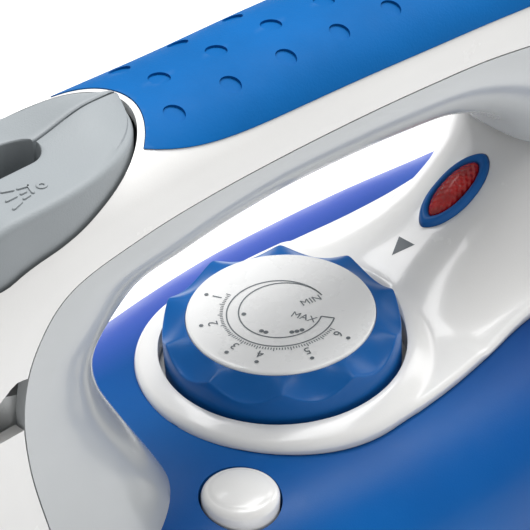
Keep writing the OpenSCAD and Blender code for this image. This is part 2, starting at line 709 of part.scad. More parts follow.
// ---- water filling -------------------------------------------------------------
module fill_door() {
    color("white")
    as_mesh()
    intersection() {
        handle_shell(0, 180, 0, shell_wall - 0.2, 0, 0.3, 14, 24);
        door_box(0);
    }
    door_axle(1.2, door_hw + 3.5);
}
module fill_funnel() {
    color("royalblue", 0.8)
    difference() {
        translate([fill_x, 0, 38]) cylinder(h = 36, r = 8.6, $fn = 48);
        translate([fill_x, 0, 37]) cylinder(h = 40, r = 7.2, $fn = 48);
        translate([fill_x + 14, 0, 74]) rotate([0, 32, 0]) cube([24, 30, 10], center = true);
    }
}

// ---- self-cleaning button --------------------------------------------------------
module self_clean_button() {
    color("white")
    translate([clean_at.x, clean_at.y, 0]) {
        rotate_extrude($fn = 96)
            polygon(concat([[0, 48], [2.4, 48], [2.4, 55], [clean_r, 55], [clean_r, 61.2]],
                [for (a = [0:10:80]) [clean_r - 1.8 + 1.8 * cos(a), 61.2 + 1.8 * sin(a)]],
                [for (i = [4:-1:0]) [(clean_r - 2.1) * i / 4, 63.05 + 1.1 * (1 - pow(i / 4, 2))]]));
    }
}
module self_clean_spring() {
    color("silver")
    translate([clean_at.x, clean_at.y, tubes_low + 2.1]) coil(4.4, 0.5, 54.8 - tubes_low - 2.1, 5);
}

// ---- rear ---------------------------------------------------------------------
// Section of the rear cover at a height: flat front, rounded back
function rear_ring(z, front, back, hw, n) =
    concat([[front, -hw, z]],
        [for (i = [0:n]) let (a = -90 + 180 * i / n)
            [front - 3 - (front - 3 - back) * pow(max(0, cos(a)), 0.42), hw * spow(sin(a), 0.7), z]],
        [[front, hw, z]]);
rear_rows = [[12, -104.4, -136, 43], [36, -104.4, -137, 41], [59, -104.4, -137, 37.5],
    [60.5, -116.6, -137, 37], [88, -116.6, -137, 31.5], [90, -123.6, -137, 31],
    [112, -123.6, -136, 24], [120, -123.6, -133.5, 19], [124, -124.5, -130, 14]];
module rear_body(inset) {
    loft([for (r = rear_rows)
        rear_ring(r[0] + (r[0] == 12 ? inset : r[0] == 124 ? -inset : 0),
            r[1] - inset, r[2] + inset, r[3] - inset, 20)]);
}
inlet_at = [-124.4, 0, 104];
inlet_r = 3.6;
inlet_l = 16;
module on_inlet() translate(inlet_at) rotate([0, -70, 0]) children();
module rear_cover() {
    color("white")
    difference() {
        rear_body(0);
        difference() {
            rear_body(2.2);
            translate([-140, -60, 84]) cube([40, 120, 4]);
        }
        on_inlet() translate([0, 0, -6]) cylinder(h = 30, r = 7.7, $fn = 48);
        for (s = [-1, 1])
            translate([-141, s * 26, 30]) rotate([0, 90, 0]) cylinder(h = 12, r = 2, $fn = 24);
    }
}
module rear_screws() {
    color("silver")
    for (s = [-1, 1])
        translate([-130, s * 26, 30]) rotate([0, -90, 0]) screw(5.2, 1.9, 1.95, 0.6);
}
pad_t = 1;
module heel_pads() {
    color("dimgray")
    for (s = [-1, 1], z = [20, 78])
        translate([heel_x, s * (z < 40 ? 14 : 12), z]) rotate([0, 90, 0]) cylinder(h = pad_t, r = 5, $fn = 48);
}
module cord_inlet() {
    color("dimgray")
    on_inlet()
    difference() {
        union() {
            translate([0, 0, -4]) cylinder(h = inlet_l, r = 6, $fn = 48);
            translate([0, 0, 6.6]) cylinder(h = 2, r = 7.6, $fn = 48);
        }
        translate([0, 0, -5]) cylinder(h = inlet_l + 2, r = inlet_r, $fn = 48);
    }
}
module terminal_block() {
    color("ivory")
    difference() {
        translate([-131, -13, 44]) cube([12, 26, 9]);
        for (y = [-8.5, 0, 8.5])
            translate([-125, y, 43]) cylinder(h = 12, r = 2.2, $fn = 24);
    }
}
module thermal_fuse() {
    color("whitesmoke")
    translate([-26, 0, casting_top + cover_t + 2.6]) rotate([0, -90, 0]) {
        cylinder(h = 16, r = 2.5, $fn = 32);
        translate([0, 0, 16]) cylinder(h = 5, r = 0.7, $fn = 16);
    }
}
wire_r = 1.2;
wire_z = 20;
module inner_wires() {
    color("firebrick")
    for (y = [-8.5, 8.5]) {
        translate([-125, y, wire_z]) cylinder(h = 44 - wire_z, r = wire_r, $fn = 16);
        translate([-125, y, wire_z]) sphere(r = wire_r, $fn = 16);
        translate([-125, y, wire_z]) rotate([0, 90, 0]) cylinder(h = 17.6, r = wire_r, $fn = 16);
    }
}

soleplate();
sole_casting();
heating_element();
steam_chamber_cover();
chamber_screws();
heat_shield();
water_tank();
tank_tubes();
tank_gasket();
saddle();
dial_knob();
dial_plate();
dial_shaft();
thermostat();
pilot_bezel();
pilot_lens();
pilot_lamp();
upper_shell();
lower_shell();
grip();
spray_button();
steam_button();
button_pin();
spray_spring();
steam_spring();
steam_lever();
valve_rod();
valve_seat();
spray_pump();
spray_piston();
steam_pump();
steam_piston();
pump_hoses();
spray_nozzle();
fill_door();
fill_funnel();
self_clean_button();
self_clean_spring();
rear_cover();
rear_screws();
cord_inlet();
terminal_block();
thermal_fuse();
inner_wires();
heel_pads();
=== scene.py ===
import json
import math

import bpy
from mathutils import Matrix, Vector


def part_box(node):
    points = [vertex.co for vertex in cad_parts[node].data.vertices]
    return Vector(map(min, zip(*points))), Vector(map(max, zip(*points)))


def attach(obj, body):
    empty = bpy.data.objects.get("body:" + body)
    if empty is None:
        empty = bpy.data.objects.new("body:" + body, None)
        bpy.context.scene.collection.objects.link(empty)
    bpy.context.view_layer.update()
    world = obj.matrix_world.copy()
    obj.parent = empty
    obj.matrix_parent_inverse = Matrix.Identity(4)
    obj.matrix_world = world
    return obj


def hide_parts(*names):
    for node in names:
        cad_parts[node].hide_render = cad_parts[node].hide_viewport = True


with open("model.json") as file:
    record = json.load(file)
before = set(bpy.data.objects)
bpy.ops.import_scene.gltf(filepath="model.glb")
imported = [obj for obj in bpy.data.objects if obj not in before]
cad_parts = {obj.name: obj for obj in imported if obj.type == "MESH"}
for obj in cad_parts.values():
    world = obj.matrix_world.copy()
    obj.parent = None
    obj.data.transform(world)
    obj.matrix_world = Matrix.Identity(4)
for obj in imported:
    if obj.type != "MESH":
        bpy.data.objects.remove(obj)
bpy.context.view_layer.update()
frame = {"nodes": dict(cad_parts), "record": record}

MM = 0.001


def box_mm(node):
    """Lowest and highest corner of a CAD node, in millimetres."""
    return tuple(tuple(c / MM for c in corner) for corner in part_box(node))


# ---- sizes in millimetres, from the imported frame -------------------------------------
JOINTS = {j["name"]: j for j in frame["record"]["behaviour"]["joints"]}
dial_foot = Vector(JOINTS["dial_turn"]["pos_m"]) / MM
dial_axis = Vector(JOINTS["dial_turn"]["axis"]).normalized()
sole_low, sole_high = box_mm("soleplate")
tank_low, tank_high = box_mm("water_tank")
plate_low, plate_high = box_mm("dial_plate")
TIP_X = sole_high[0]
SOLE_L = sole_high[0] - sole_low[0]
SOLE_W = sole_high[1] - sole_low[1]
TANK_Z0 = tank_low[2]
TANK_REAR = tank_low[0]
TANK_FRONT = tank_high[0]
TANK_TOP = 62.2
PLATE_R = (plate_high[1] - plate_low[1]) / 2
KNOB_R = PLATE_R + 5.2
SADDLE_R = 31.5
BOWL_R = KNOB_R + 1.2
BOWL_LOW, BOWL_FLOOR = -3, 0.5
DIAL_TILT = math.atan2(dial_axis.x, dial_axis.z)
CLEAN_LOW, CLEAN_HIGH = box_mm("self_clean_button")
CLEAN_AT = ((CLEAN_LOW[0] + CLEAN_HIGH[0]) / 2, (CLEAN_LOW[1] + CLEAN_HIGH[1]) / 2)
CLEAN_R = (CLEAN_HIGH[0] - CLEAN_LOW[0]) / 2
SHELL_WALL = 2.4
GRIP_T = 2.2
SEAM = 0.3


# ---- small maths ---------------------------------------------------------------------
def clamp01(t):
    return max(0.0, min(1.0, t))


def smooth(t):
    c = clamp01(t)
    return c * c * (3 - 2 * c)


def spow(v, p):
    return math.copysign(abs(v) ** p, v)


def sin_d(a):
    return math.sin(math.radians(a))


def cos_d(a):
    return math.cos(math.radians(a))


def catmull(a, b, c, d, t):
    return [
        0.5 * (2 * q + (r - p) * t + (2 * p - 5 * q + 4 * r - s) * t * t
               + (3 * q - p - 3 * r + s) * t ** 3)
        for p, q, r, s in zip(a, b, c, d)
    ]


def along(rows, u):
    n = len(rows) - 1
    i = max(0, min(n - 1, int(math.floor(u * n))))
    return catmull(rows[max(0, i - 1)], rows[i], rows[i + 1], rows[min(n, i + 2)], u * n - i)


# ---- meshes --------------------------------------------------------------------------
def make(name, points, faces, material, sharp=32):
    """A mesh object from points in millimetres."""
    mesh = bpy.data.meshes.new(name)
    mesh.from_pydata([tuple(MM * c for c in p) for p in points], [], faces)
    mesh.validate()
    obj = bpy.data.objects.new(name, mesh)
    bpy.context.scene.collection.objects.link(obj)
    if material:
        mesh.materials.append(material)
    fix_normals(mesh)
    shade(obj, sharp)
    return obj


def fix_normals(mesh):
    import bmesh

    bm = bmesh.new()
    bm.from_mesh(mesh)
    bmesh.ops.remove_doubles(bm, verts=bm.verts, dist=1e-7)
    bmesh.ops.recalc_face_normals(bm, faces=bm.faces)
    bm.to_mesh(mesh)
    bm.free()
    mesh.update()


def shade(obj, sharp):
    obj.data.shade_smooth()
    obj.data.set_sharp_from_angle(angle=math.radians(sharp))


def grid_faces(rows, columns, closed):
    """Quads between rows of points."""
    faces = []
    for i in range(rows - 1):
        for j in range(columns if closed else columns - 1):
            k = (j + 1) % columns
            faces.append((i * columns + j, i * columns + k,
                          (i + 1) * columns + k, (i + 1) * columns + j))
    return faces


def strip_cap(n, base):
    """Faces that close a ring of n points in a strip from its two ends."""
    faces = []
    for j in range((n - 1) // 2):
        a, b, c, d = j, j + 1, n - 2 - j, n - 1 - j
        faces.append((a, b, c, d) if b < c else (a, b, d))
    return [tuple(base + i for i in f) for f in faces]


def loft(name, rings, material, sharp=32):
    n = len(rings[0])
    faces = grid_faces(len(rings), n, True)
    faces += strip_cap(n, 0) + strip_cap(n, n * (len(rings) - 1))
    return make(name, [p for r in rings for p in r], faces, material, sharp)


def revolve(name, profile, at, material, segments=96, sharp=32):
    """A solid turned about +Z through the point at, from radius and height pairs."""
    points, rings = [], []
    for r, z in profile:
        if r < 1e-6:
            rings.append([len(points)])
            points.append((at[0], at[1], at[2] + z))
        else:
            rings.append(list(range(len(points), len(points) + segments)))
            points += [(at[0] + r * math.cos(2 * math.pi * k / segments),
                        at[1] + r * math.sin(2 * math.pi * k / segments), at[2] + z)
                       for k in range(segments)]
    faces = []
    for lower, upper in zip(rings, rings[1:]):
        for k in range(segments):
            quad = [lower[k % len(lower)], lower[(k + 1) % len(lower)],
                    upper[(k + 1) % len(upper)], upper[k % len(upper)]]
            face = list(dict.fromkeys(quad))
            if len(face) > 2:
                faces.append(tuple(face))
    return make(name, points, faces, material, sharp)


def apply_modifiers(obj):
    depsgraph = bpy.context.evaluated_depsgraph_get()
    mesh = bpy.data.meshes.new_from_object(obj.evaluated_get(depsgraph))
    obj.modifiers.clear()
    obj.data = mesh


def cut(obj, *tools, how="DIFFERENCE", keep_tools=False):
    for tool in tools:
        modifier = obj.modifiers.new("cut", "BOOLEAN")
        modifier.operation = how
        modifier.object = tool
        modifier.solver = "EXACT"
        apply_modifiers(obj)
    if not keep_tools:
        for tool in tools:
            bpy.data.objects.remove(tool)
    return obj


def soften(obj, width, angle=40, segments=3, sharp=32):
    """Rounds the hard edges of a finished piece."""
    modifier = obj.modifiers.new("soften", "BEVEL")
    modifier.width = width * MM
    modifier.segments = segments
    modifier.limit_method = "ANGLE"
    modifier.angle_limit = math.radians(angle)
    modifier.harden_normals = False
    apply_modifiers(obj)
    shade(obj, sharp)
    return obj


def rod(name, a, b, r, material=None, segments=64):
    """A cylinder between two points."""
    start, end = Vector(a), Vector(b)
    turn = (end - start).to_track_quat("Z", "Y")
    points = []
    for at in (start, end):
        for k in range(segments):
            t = 2 * math.pi * k / segments
            points.append(tuple(at + turn @ Vector((r * math.cos(t), r * math.sin(t), 0))))
    faces = grid_faces(2, segments, True)
    faces += [tuple(range(segments)), tuple(range(segments, 2 * segments))]
    return make(name, points, faces, material)


def prism(name, outline, z0, z1, material=None, place=lambda p: p):
    """An upright solid over an outline of x and y pairs."""
    n = len(outline)
    points = [place((x, y, z)) for z in (z0, z1) for x, y in outline]
    faces = grid_faces(2, n, True) + [tuple(range(n)), tuple(range(n, 2 * n))]
    return make(name, points, faces, material)


def block(name, low, high, material=None):
    outline = [(low[0], low[1]), (high[0], low[1]), (high[0], high[1]), (low[0], high[1])]
    return prism(name, outline, low[2], high[2], material)


def place_piece(obj, body, stands_for=()):
    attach(obj, body)
    if stands_for:
        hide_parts(*stands_for)
    return obj


# ---- materials -----------------------------------------------------------------------
class Nodes:
    """A short way to build a material's node tree."""

    def __init__(self, name):
        self.material = bpy.data.materials.new(name)
        self.material.use_nodes = True
        self.tree = self.material.node_tree
        self.shader = self.tree.nodes["Principled BSDF"]
        self.coords = self.add("ShaderNodeTexCoord").outputs["Object"]

    def add(self, kind, **values):
        node = self.tree.nodes.new(kind)
        for key, value in values.items():
            setattr(node, key, value)
        return node

    def link(self, a, b):
        self.tree.links.new(a, b)

    def noise(self, scale, detail=4.0, roughness=0.5, source=None):
        node = self.add("ShaderNodeTexNoise")
        node.inputs["Scale"].default_value = scale
        node.inputs["Detail"].default_value = detail
        node.inputs["Roughness"].default_value = roughness
        self.link(source or self.coords, node.inputs["Vector"])
        return node.outputs["Fac"]

    def ramp(self, source, low, high, start=0.3, end=0.7):
        node = self.add("ShaderNodeMapRange")
        node.inputs["From Min"].default_value = start
        node.inputs["From Max"].default_value = end
        node.inputs["To Min"].default_value = low
        node.inputs["To Max"].default_value = high
        self.link(source, node.inputs["Value"])
        return node.outputs["Result"]

    def mix(self, factor, a, b):
        node = self.add("ShaderNodeMix", data_type="RGBA")
        if isinstance(factor, float):
            node.inputs["Factor"].default_value = factor
        else:
            self.link(factor, node.inputs["Factor"])
        for socket, value in ((node.inputs[6], a), (node.inputs[7], b)):
            if isinstance(value, tuple):
                socket.default_value = (*value, 1)
            else:
                self.link(value, socket)
        return node.outputs[2]

    def bump(self, height, distance, strength=1.0):
        node = self.add("ShaderNodeBump")
        node.inputs["Strength"].default_value = strength
        node.inputs["Distance"].default_value = distance * MM
        self.link(height, node.inputs["Height"])
        self.link(node.outputs["Normal"], self.shader.inputs["Normal"])

    def edges(self, amount=0.5, low=0.53, high=0.62):
        """Where the surface is convex, such as along edges."""
        geometry = self.add("ShaderNodeNewGeometry")
        return self.ramp(geometry.outputs["Pointiness"], 0.0, amount, low, high)


def plastic(name, colour, roughness, grain=0.02, grain_scale=2500.0, tint=0.04, worn=0.25,
            coat=0.0, metallic=0.0, specular=0.5):
    """Moulded plastic: slow shade drift, fine grain, uneven gloss and paler edges."""
    n = Nodes(name)
    dark = tuple(c * (1 - tint) for c in colour)
    pale = tuple(min(1.0, c + 0.06 * (1 - c)) for c in colour)
    base = n.mix(n.ramp(n.noise(35.0, 3.0), 0.0, 1.0), dark, colour)
    base = n.mix(n.edges(worn), base, pale)
    n.link(base, n.shader.inputs["Base Color"])
    gloss = n.ramp(n.noise(90.0, 6.0, 0.6), roughness * 0.85, roughness * 1.15)
    n.link(gloss, n.shader.inputs["Roughness"])
    n.shader.inputs["Coat Weight"].default_value = coat
    n.shader.inputs["Coat Roughness"].default_value = 0.08
    n.shader.inputs["Metallic"].default_value = metallic
    n.shader.inputs["Specular IOR Level"].default_value = specular
    n.bump(n.noise(grain_scale, 2.0), grain)
    return n.material


def rubber(name, colour, roughness=0.55):
    """Soft grip rubber: fine leathery grain and a dull, uneven sheen."""
    n = Nodes(name)
    dark = tuple(c * 0.88 for c in colour)
    base = n.mix(n.ramp(n.noise(60.0, 5.0, 0.6), 0.0, 1.0), dark, colour)
    pale = tuple(c + 0.04 * (1 - c) for c in colour)
    base = n.mix(n.edges(0.3), base, pale)
    n.link(base, n.shader.inputs["Base Color"])
    n.link(n.ramp(n.noise(220.0, 4.0), roughness * 0.9, roughness * 1.12),
           n.shader.inputs["Roughness"])
    n.shader.inputs["Specular IOR Level"].default_value = 0.08
    n.bump(n.noise(1800.0, 3.0, 0.6), 0.05)
    return n.material


def metal(name, colour, roughness, stretch=(1.0, 1.0, 1.0), cast=False):
    """Metal with brushed streaks, or a cast skin."""
    n = Nodes(name)
    mapping = n.add("ShaderNodeMapping")
    mapping.inputs["Scale"].default_value = stretch
    n.link(n.coords, mapping.inputs["Vector"])
    streak = n.noise(900.0 if cast else 400.0, 6.0, 0.7, mapping.outputs["Vector"])
    dark = tuple(c * 0.85 for c in colour)
    n.link(n.mix(n.ramp(streak, 0.0, 1.0), dark, colour), n.shader.inputs["Base Color"])
    n.shader.inputs["Metallic"].default_value = 1.0
    n.link(n.ramp(streak, roughness * 0.8, roughness * 1.3), n.shader.inputs["Roughness"])
    n.bump(streak, 0.06 if cast else 0.01)
    return n.material


def tank_plastic():
    """Deep blue translucent plastic with what lies behind it seen as soft blotches, and painted
    light: a paler purple-blue on the flank at negative y.
    """
    n = Nodes("tank_blue_clear")
    deep, clear = (0.003, 0.045, 0.20), (0.004, 0.115, 0.40)
    # painted light: a paler purple-blue for the flank at negative y
    painted_light_purple = (0.060, 0.105, 0.48)
    blotch = n.ramp(n.noise(11.0, 2.0, 0.4), 0.0, 1.0, 0.40, 0.60)
    base = n.mix(blotch, deep, clear)
    parts = n.add("ShaderNodeSeparateXYZ")
    n.link(n.coords, parts.inputs["Vector"])
    # painted light: the flank at negative y is mixed toward a paler purple-blue that stands in for
    # light shining through the tank and a glancing reflection
    flank_light_mask = n.ramp(parts.outputs["Y"], 1.0, 0.0, -0.044, -0.022)
    base = n.mix(flank_light_mask, base, painted_light_purple)
    base = n.mix(n.edges(0.3), base, (0.03, 0.14, 0.45))
    n.link(base, n.shader.inputs["Base Color"])
    n.link(n.ramp(n.noise(120.0, 5.0), 0.30, 0.40), n.shader.inputs["Roughness"])
    n.shader.inputs["Transmission Weight"].default_value = 0.05
    n.shader.inputs["IOR"].default_value = 1.49
    n.shader.inputs["Specular IOR Level"].default_value = 0.12
    n.shader.inputs["Subsurface Weight"].default_value = 0.05
    n.shader.inputs["Subsurface Radius"].default_value = (0.001, 0.002, 0.006)
    n.bump(n.noise(2600.0, 2.0), 0.02)
    return n.material


def red_glass():
    """Red lens with a moulded diamond pattern behind a smooth face."""
    n = Nodes("red_lens_faceted")
    base = n.mix(n.ramp(n.noise(260.0, 3.0), 0.0, 1.0), (0.22, 0.002, 0.002), (0.62, 0.008, 0.006))
    n.link(base, n.shader.inputs["Base Color"])
    n.link(n.ramp(n.noise(300.0, 3.0), 0.07, 0.14), n.shader.inputs["Roughness"])
    n.shader.inputs["Transmission Weight"].default_value = 0.2
    n.shader.inputs["IOR"].default_value = 1.5
    n.shader.inputs["Emission Color"].default_value = (0.8, 0.02, 0.01, 1)
    n.shader.inputs["Emission Strength"].default_value = 0.03
    n.shader.inputs["Coat Weight"].default_value = 0.3
    n.shader.inputs["Coat Roughness"].default_value = 0.04
    heights = []
    for turn in (0.7, -0.7):
        mapping = n.add("ShaderNodeMapping")
        mapping.inputs["Rotation"].default_value = (0, 0, turn)
        n.link(n.coords, mapping.inputs["Vector"])
        wave = n.add("ShaderNodeTexWave", wave_profile="TRI")
        wave.inputs["Scale"].default_value = 260.0
        n.link(mapping.outputs["Vector"], wave.inputs["Vector"])
        heights.append(wave.outputs["Fac"])
    total = n.add("ShaderNodeMath", operation="ADD")
    n.link(heights[0], total.inputs[0])
    n.link(heights[1], total.inputs[1])
    n.bump(total.outputs["Value"], 0.25)
    return n.material


WHITE = plastic("white_satin", (0.82, 0.815, 0.80), 0.24, 0.012, coat=0.25)
PLATE = plastic("plate_white", (0.88, 0.88, 0.87), 0.28, 0.003, tint=0.015, coat=0.15)
SILVER = plastic("silver_grey", (0.47, 0.49, 0.50), 0.22, 0.010, coat=0.4, metallic=0.1)
GREY = plastic("grey_matte", (0.285, 0.31, 0.325), 0.48, 0.05, 3000.0, specular=0.3)
BLUE = plastic("knob_blue", (0.004, 0.105, 0.36), 0.36, 0.015, worn=0.35, specular=0.22)
GRIP = rubber("grip_blue", (0.002, 0.112, 0.36))
TANK = tank_plastic()
LENS = red_glass()
INK = plastic("print_grey", (0.135, 0.155, 0.17), 0.5, 0.005)
SOLE = metal("sole_polished", (0.62, 0.63, 0.64), 0.18, (0.06, 1.0, 1.0))
CAST = metal("aluminium_cast", (0.50, 0.505, 0.51), 0.45, cast=True)
STEEL = metal("steel_satin", (0.58, 0.58, 0.59), 0.25, (1.0, 1.0, 0.1))
DARK_STEEL = metal("heater_dark", (0.16, 0.155, 0.15), 0.5, cast=True)
BLACK_RUBBER = rubber("rubber_black", (0.018, 0.018, 0.020), 0.6)
CERAMIC = plastic("ceramic_cream", (0.72, 0.66, 0.52), 0.6, 0.06, 1500.0)
NEON = plastic("neon_orange", (0.85, 0.30, 0.08), 0.15, 0.005)
WIRE = plastic("wire_red", (0.42, 0.02, 0.015), 0.45, 0.02)
HOSE = plastic("hose_clear", (0.70, 0.72, 0.72), 0.3, 0.02)

# CAD nodes that stay as they are and only get a better finish
KEPT = {
    "soleplate": SOLE, "sole_casting": CAST, "heating_element": DARK_STEEL,
    "steam_chamber_cover": CAST, "chamber_screws": STEEL, "heat_shield": WHITE,
    "tank_tubes": TANK, "tank_gasket": BLACK_RUBBER, "dial_shaft": STEEL,
    "thermostat": CERAMIC, "pilot_lamp": NEON, "button_pin": STEEL, "spray_spring": STEEL,
    "steam_spring": STEEL, "steam_lever": GREY, "valve_rod": STEEL,
    "valve_seat": BLACK_RUBBER, "spray_pump": HOSE, "steam_pump": HOSE,
    "spray_piston": STEEL, "steam_piston": STEEL, "pump_hoses": HOSE, "spray_nozzle": GREY,
    "fill_funnel": TANK, "self_clean_spring": STEEL, "rear_screws": STEEL,
    "cord_inlet": BLACK_RUBBER, "terminal_block": CERAMIC, "thermal_fuse": CERAMIC,
    "inner_wires": WIRE, "heel_pads": BLACK_RUBBER, "fill_door": WHITE,
}
for node_name, node_material in KEPT.items():
    node_object = frame["nodes"][node_name]
    for material_slot in node_object.material_slots:
        material_slot.material = node_material


# ---- water tank ----------------------------------------------------------------------
def sole_hw(x):
    """Half the width of the soleplate at x."""
    t = clamp01((TIP_X - x) / SOLE_L)
    nose = math.sin(math.pi / 2 * t / 0.7) ** 0.8 if t < 0.7 else 1 - 0.1 * ((t - 0.7) / 0.3) ** 2
    q = clamp01((x - (TIP_X - SOLE_L)) / 24)
    return SOLE_W / 2 * nose * (1 - (1 - q) ** 2.6) ** (1 / 2.6)


def tank_hw(x):
    return ((sole_hw(max(-30, min(x, TANK_FRONT) + 1.5)) * 0.94 - 1)
            * (1 - 0.13 * smooth((-20 - x) / 110)))


def tank_crown(x):
    return (TANK_TOP - 33 * clamp01((x - 34) / (TANK_FRONT + 6 - 34)) ** 1.7
            - 1.5 * smooth((-60 - x) / 40))


def tank_power(x):
    return 2 / (3.8 - 1.4 * smooth((x - 60) / 70))


def tank_surface(x, y):
    n = 2 / tank_power(x)
    q = clamp01(abs(y) / tank_hw(x))
    return TANK_Z0 + (tank_crown(x) - TANK_Z0) * (1 - q ** n) ** (1 / n)


def tank_ring(x, inset, n):
    w = max(0.6, tank_hw(x) - inset)
    h = tank_crown(x) - TANK_Z0 - 2 * inset
    p = tank_power(x)
    return [(x, w * spow(math.cos(math.pi * i / n), p),
             TANK_Z0 + inset + h * max(0.0, math.sin(math.pi * i / n)) ** p) for i in range(n + 1)]


def dial_point(p):
    """From the dial's own axes to the frame."""
    turn = Matrix.Rotation(DIAL_TILT, 3, "Y")
    return tuple(dial_foot + turn @ Vector(p))


def dial_cylinder(name, r, z0, z1, material=None, segments=128):
    return rod(name, dial_point((0, 0, z0)), dial_point((0, 0, z1)), r, material, segments)


def turn_into_dial(obj):
    turn = Matrix.Rotation(DIAL_TILT, 4, "Y")
    obj.data.transform(Matrix.Translation(dial_foot * MM) @ turn)
    return obj


def dial_turned(name, profile, material=None, segments=192):
    return turn_into_dial(revolve(name, profile, (0, 0, 0), material, segments))


def build_tank():
    steps = 90
    xs = [TANK_REAR + (TANK_FRONT - TANK_REAR) * (1 - math.cos(math.pi * i / steps)) / 2
          for i in range(steps + 1)]
    tank = loft("water_tank_shell", [tank_ring(x, 0, 72) for x in xs], TANK, 40)
    cut(tank,
        dial_cylinder("dish", BOWL_R + 2.4, BOWL_LOW - 0.4, 30),
        rod("clean_well", (*CLEAN_AT, 33), (*CLEAN_AT, 90), CLEAN_R + 0.5),
        rod("fill_well", (97, 0, 33), (97, 0, 90), 9.2))
    shade(tank, 40)
    place_piece(tank, "body", ["water_tank"])


build_tank()

# ---- saddle --------------------------------------------------------------------------
# x, height of the ridge, height of the edge, half the width, flat share
SADDLE_ROWS = [
    (-116, 90, 66, 30, 0.74), (-104, 90, 65.6, 29, 0.72), (-92, 90, 65.2, 28, 0.68),
    (-80, 90, 64.8, 27.2, 0.6), (-72, 90, 64.6, 26.8, 0.45), (-66, 86.5, 64.5, 26.6, 0.28),
    (-60, 83.2, 64.4, 26.6, 0.2), (-53, 79.7, 64.4, 26.8, 0.12), (-45, 76.3, 64.3, 27.4, 0.1),
    (-33, 72.6, 63.6, 29.4, 0.1), (-20, 67.5, 63, 31, 0.2), (-8, 63.6, 62.6, 31.6, 0.3),
]
SADDLE_REAR = SADDLE_ROWS[0][0]
EDGE_ROUND = 1.3
SADDLE_BLEND = 5.0
SADDLE_DEPTH = 14


def saddle_row(x):
    rows = SADDLE_ROWS
    n = len(rows) - 1
    if x >= rows[n][0]:
        w = math.sqrt(max(0.01, SADDLE_R ** 2 - max(0, x) ** 2))
        return (x, 63.6 - 0.02 * (x + 8), 62.6, w, 0.3)
    i = max(k for k in range(n) if rows[k][0] <= x)
    t = (x - rows[i][0]) / (rows[i + 1][0] - rows[i][0])
    return catmull(rows[max(0, i - 1)], rows[i], rows[i + 1], rows[min(n, i + 2)], t)


def saddle_z(x, y):
    """The ramp behind the dial, blended into the collar round it."""
    r = saddle_row(x)
    s = clamp01((abs(y) / r[3] - r[4]) / (1 - r[4]))
    ramp = r[2] + (r[1] - r[2]) * (0.5 + 0.5 * math.cos(math.pi * s ** 1.15))
    t = clamp01((math.hypot(x, y) - BOWL_R) / (SADDLE_R - BOWL_R))
    collar = 62.4 + (4.4 - 0.07 * x) * (1 - t ** 1.7) - 14 * smooth((-29 - x) / 9)
    h = max(0.0, 1 - abs(ramp - collar) / SADDLE_BLEND)
    return max(ramp, collar) + h * h * SADDLE_BLEND / 4


def saddle_top(x, y):
    """The saddle's surface with its outer edge rounded off."""
    w = saddle_row(x)[3]
    reach = min(w - abs(y), SADDLE_R - math.hypot(x, y) if x > 0 else EDGE_ROUND)
    t = clamp01(1 - reach / EDGE_ROUND)
    return saddle_z(x, y) - EDGE_ROUND * (1 - math.sqrt(1 - t * t))


def saddle_ring(x, n=64):
    w = saddle_row(x)[3]
    ys = [-w * math.cos(math.pi * i / n) for i in range(n + 1)]
    upper = [(x, y, saddle_top(x, y)) for y in ys]
    lower = []
    for y in reversed(ys):
        under = max(saddle_z(x, y) - SADDLE_DEPTH, tank_surface(x, y) + 0.1)
        lower.append((x, y * 0.985, min(saddle_top(x, y) - 0.3, under)))
    return upper + lower


# The pilot light's own axes
LENS_AT = Vector((-53.3, 0, 79.9))
LENS_TILT = math.radians(24.5)
LENS_L, LENS_W = 16.0, 5.8
BEZEL_L, BEZEL_W = 22.6, 9.6


def lens_point(p):
    return tuple(LENS_AT + Matrix.Rotation(LENS_TILT, 3, "Y") @ Vector(p))


def almond(length, width, n=96, blunt=0.82):
    """Points round an almond: a superellipse drawn to soft points at both ends."""
    points = []
    for k in range(n):
        t = 2 * math.pi * k / n
        c, s = math.cos(t), math.sin(t)
        points.append((length / 2 * spow(c, blunt), width / 2 * spow(s, 1.45 - 0.2 * abs(c))))
    return points


def build_saddle():
    xs = [SADDLE_REAR + 1.3 * i for i in range(int((-SADDLE_REAR) / 1.3))]
    xs += [SADDLE_R * sin_d(a) for a in range(0, 88, 2)] + [SADDLE_R - 0.02]
    saddle = loft("saddle_top", [saddle_ring(x) for x in xs], WHITE, 40)
    cut(saddle,
        dial_turned("bowl", [
            (0, BOWL_FLOOR), (BOWL_R, BOWL_FLOOR), (BOWL_R, 7.2), (BOWL_R + 0.6, 7.9),
            (BOWL_R + 2.4, 9.4), (BOWL_R + 5.5, 11.5), (BOWL_R + 9, 14.5), (0, 40)]),
        prism("lens_hole", almond(BEZEL_L + 0.2, BEZEL_W + 0.2), -9, 20, place=lens_point))
    soften(saddle, 0.6, 50, 3, 40)
    place_piece(saddle, "body", ["saddle"])
    floor = dial_cylinder("saddle_bowl", BOWL_R + 2, BOWL_LOW, BOWL_FLOOR, WHITE)
    place_piece(floor, "body", ())


build_saddle()


def on_saddle(name, outline, material, lift=0.03):
    """A printed mark that lies on the saddle: a fan of small triangles inside an outline."""
    steps = 8
    cx = sum(p[0] for p in outline) / len(outline)
    cy = sum(p[1] for p in outline) / len(outline)
    rows = []
    for k in range(steps + 1):
        t = k / steps
        row = []
        for i, (x, y) in enumerate(outline):
            nx, ny = outline[(i + 1) % len(outline)]
            for j in range(steps):
                ex, ey = x + (nx - x) * j / steps, y + (ny - y) * j / steps
                px, py = cx + (ex - cx) * t, cy + (ey - cy) * t
                row.append((px, py, saddle_z(px, py) + lift))
        rows.append(row)
    n = len(rows[0])
    obj = make(name, [p for r in rows for p in r], grid_faces(len(rows), n, True), material)
    return place_piece(obj, "body", ())


on_saddle("dial_pointer_mark", [(-33.2, 0.0), (-38.0, -2.3), (-38.0, 2.3)], INK)


